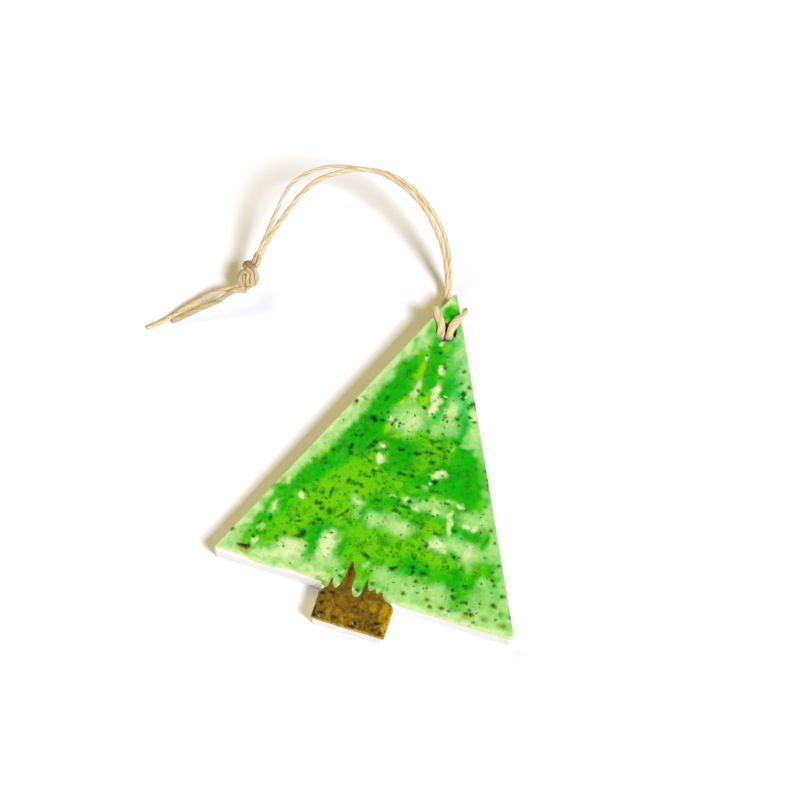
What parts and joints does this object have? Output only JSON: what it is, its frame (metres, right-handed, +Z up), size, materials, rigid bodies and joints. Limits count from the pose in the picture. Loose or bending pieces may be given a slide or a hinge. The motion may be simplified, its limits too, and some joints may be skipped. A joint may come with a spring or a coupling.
{
  "type": "christmas tree ornament",
  "caption": "Flat ceramic Christmas tree slab with a glazed front and a hole near its apex, hung by a knotted loop of hemp twine.",
  "frame": {"origin": "middle of the slab's and hitch's bounding box, on the surface that the ornament lies on", "axes": "+Z up from the surface, out of the glazed front; +Y along the tree towards its apex; +X to the tree's right"},
  "size_m": [0.1067, 0.1064, 0.0226],
  "materials": {
    "bare_clay": "unglazed fired white clay, matte",
    "green_glaze": "glossy mottled green glaze with dark specks",
    "brown_glaze": "glossy golden brown glaze with black specks",
    "hemp_twine": "natural polished hemp twine"
  },
  "bodies": {
    "slab": {"ceramic_tree": "bare_clay", "green_glaze": "green_glaze", "brown_glaze": "brown_glaze", "hitch": "hemp_twine"},
    "loop": {"loop_strand_a": "hemp_twine", "loop_strand_b": "hemp_twine", "knot": "hemp_twine", "tail_a": "hemp_twine", "tail_b": "hemp_twine"}
  },
  "joints": [
    {"name": "loop_swing", "type": "hinge", "parent": "slab", "child": "loop", "pos_m": [-0.00345, 0.0415, 0.002], "axis": [0.4062, 0.9133, 0.0305], "range_deg": [0, 50]}
  ]
}
